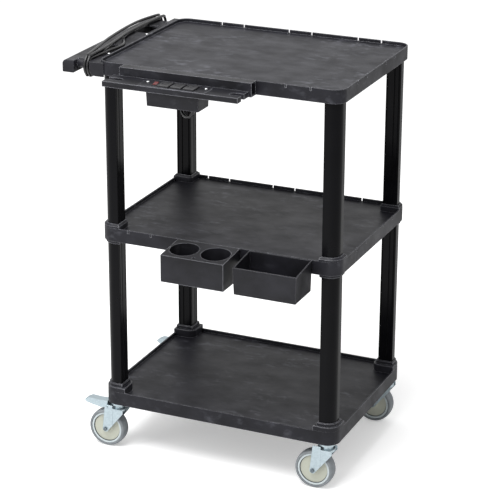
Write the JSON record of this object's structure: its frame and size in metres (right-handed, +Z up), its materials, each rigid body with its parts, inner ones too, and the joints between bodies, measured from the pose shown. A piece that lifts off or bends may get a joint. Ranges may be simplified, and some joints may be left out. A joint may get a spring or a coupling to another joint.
{
  "type": "audio visual cart",
  "caption": "Rolling cart with moulded shelves on fluted posts, a push handle with a wound mains cord, a hooked-on power strip, a cup holder and a storage bin on swivel casters.",
  "frame": {"origin": "on the floor, under the middle of the cart's bounding box without the cord", "axes": "+X from the handle end towards the other end, -Y towards the power strip and the holders, +Z up"},
  "size_m": [0.7628, 0.5966, 1.0888],
  "materials": {
    "black_structural_foam": "moulded black structural foam plastic, faintly swirled",
    "black_extruded_plastic": "extruded black plastic with a satin gloss",
    "black_outlet_plastic": "moulded black plastic, fine grain",
    "red_rocker_plastic": "red translucent plastic, glossy",
    "black_cord_jacket": "black cord jacket, slightly glossy",
    "zinc_plated_steel": "bright zinc plated pressed steel",
    "blackened_steel": "darkened steel bolt",
    "pale_wheel_plastic": "pale grey-green moulded plastic",
    "grey_tyre_rubber": "grey non-marking rubber"
  },
  "bodies": {
    "cart": {"top_shelf": "black_structural_foam", "middle_shelf": "black_structural_foam", "bottom_shelf": "black_structural_foam", "upper_post_front_left": "black_extruded_plastic", "upper_post_front_right": "black_extruded_plastic", "upper_post_back_left": "black_extruded_plastic", "upper_post_back_right": "black_extruded_plastic", "lower_post_front_left": "black_extruded_plastic", "lower_post_front_right": "black_extruded_plastic", "lower_post_back_left": "black_extruded_plastic", "lower_post_back_right": "black_extruded_plastic", "push_handle": "black_structural_foam", "handle_screw_front": "zinc_plated_steel", "handle_screw_back": "zinc_plated_steel", "strip_bracket": "black_structural_foam", "strip_panel": "black_structural_foam", "panel_screw_left": "zinc_plated_steel", "panel_screw_right": "zinc_plated_steel", "outlet_1": "black_outlet_plastic", "outlet_2": "black_outlet_plastic", "outlet_3": "black_outlet_plastic", "switch_frame": "black_outlet_plastic", "strip_box": "black_structural_foam", "cord_relief": "black_cord_jacket", "cord_run": "black_cord_jacket", "cord_winding": "black_cord_jacket", "cord_plug": "black_cord_jacket", "cord_clip_1": "black_structural_foam", "cord_clip_2": "black_structural_foam", "caster_mount_front_left": "zinc_plated_steel", "caster_mount_front_right": "zinc_plated_steel", "caster_mount_back_left": "zinc_plated_steel", "caster_mount_back_right": "zinc_plated_steel"},
    "swivel_front_left": {"caster_fork_front_left": "zinc_plated_steel", "caster_axle_front_left": "blackened_steel", "pedal_pin_front_left": "zinc_plated_steel"},
    "rolling_wheel_front_left": {"wheel_front_left": "pale_wheel_plastic", "tyre_front_left": "grey_tyre_rubber"},
    "pedal_front_left": {"brake_pedal_front_left": "zinc_plated_steel"},
    "swivel_front_right": {"caster_fork_front_right": "zinc_plated_steel", "caster_axle_front_right": "blackened_steel"},
    "rolling_wheel_front_right": {"wheel_front_right": "pale_wheel_plastic", "tyre_front_right": "grey_tyre_rubber"},
    "swivel_back_left": {"caster_fork_back_left": "zinc_plated_steel", "caster_axle_back_left": "blackened_steel", "pedal_pin_back_left": "zinc_plated_steel"},
    "rolling_wheel_back_left": {"wheel_back_left": "pale_wheel_plastic", "tyre_back_left": "grey_tyre_rubber"},
    "pedal_back_left": {"brake_pedal_back_left": "zinc_plated_steel"},
    "swivel_back_right": {"caster_fork_back_right": "zinc_plated_steel", "caster_axle_back_right": "blackened_steel"},
    "rolling_wheel_back_right": {"wheel_back_right": "pale_wheel_plastic", "tyre_back_right": "grey_tyre_rubber"},
    "rocker": {"switch_rocker": "red_rocker_plastic"},
    "cups": {"cup_holder": "black_structural_foam"},
    "bin": {"storage_bin": "black_structural_foam"}
  },
  "joints": [
    {"name": "caster_swivel_front_left", "type": "hinge", "parent": "cart", "child": "swivel_front_left", "pos_m": [-0.2526, -0.1681, 0.1145], "axis": [0, 0, 1], "continuous": true},
    {"name": "wheel_spin_front_left", "type": "hinge", "parent": "swivel_front_left", "child": "rolling_wheel_front_left", "pos_m": [-0.2845, -0.1681, 0.0525], "axis": [0, 1, 0], "continuous": true},
    {"name": "brake_press_front_left", "type": "hinge", "parent": "swivel_front_left", "child": "pedal_front_left", "pos_m": [-0.2804, -0.1681, 0.1173], "axis": [0, -1, 0], "range_deg": [0, 12]},
    {"name": "caster_swivel_front_right", "type": "hinge", "parent": "cart", "child": "swivel_front_right", "pos_m": [0.3498, -0.1681, 0.1145], "axis": [0, 0, 1], "continuous": true},
    {"name": "wheel_spin_front_right", "type": "hinge", "parent": "swivel_front_right", "child": "rolling_wheel_front_right", "pos_m": [0.3179, -0.1681, 0.0525], "axis": [0, 1, 0], "continuous": true},
    {"name": "caster_swivel_back_left", "type": "hinge", "parent": "cart", "child": "swivel_back_left", "pos_m": [-0.2526, 0.2715, 0.1145], "axis": [0, 0, 1], "continuous": true},
    {"name": "wheel_spin_back_left", "type": "hinge", "parent": "swivel_back_left", "child": "rolling_wheel_back_left", "pos_m": [-0.2845, 0.2715, 0.0525], "axis": [0, 1, 0], "continuous": true},
    {"name": "brake_press_back_left", "type": "hinge", "parent": "swivel_back_left", "child": "pedal_back_left", "pos_m": [-0.2804, 0.2715, 0.1173], "axis": [0, -1, 0], "range_deg": [0, 12]},
    {"name": "caster_swivel_back_right", "type": "hinge", "parent": "cart", "child": "swivel_back_right", "pos_m": [0.3498, 0.2715, 0.1145], "axis": [0, 0, 1], "continuous": true},
    {"name": "wheel_spin_back_right", "type": "hinge", "parent": "swivel_back_right", "child": "rolling_wheel_back_right", "pos_m": [0.3179, 0.2715, 0.0525], "axis": [0, 1, 0], "continuous": true},
    {"name": "rocker_tip", "type": "hinge", "parent": "cart", "child": "rocker", "pos_m": [-0.0854, -0.2603, 1.058], "axis": [1, 0, 0], "range_deg": [-18, 0]},
    {"name": "cup_holder_lift", "type": "slide", "parent": "cart", "child": "cups", "axis": [0, 0, 1], "range_m": [0, 0.03]},
    {"name": "storage_bin_lift", "type": "slide", "parent": "cart", "child": "bin", "axis": [0, 0, 1], "range_m": [0, 0.03]}
  ]
}
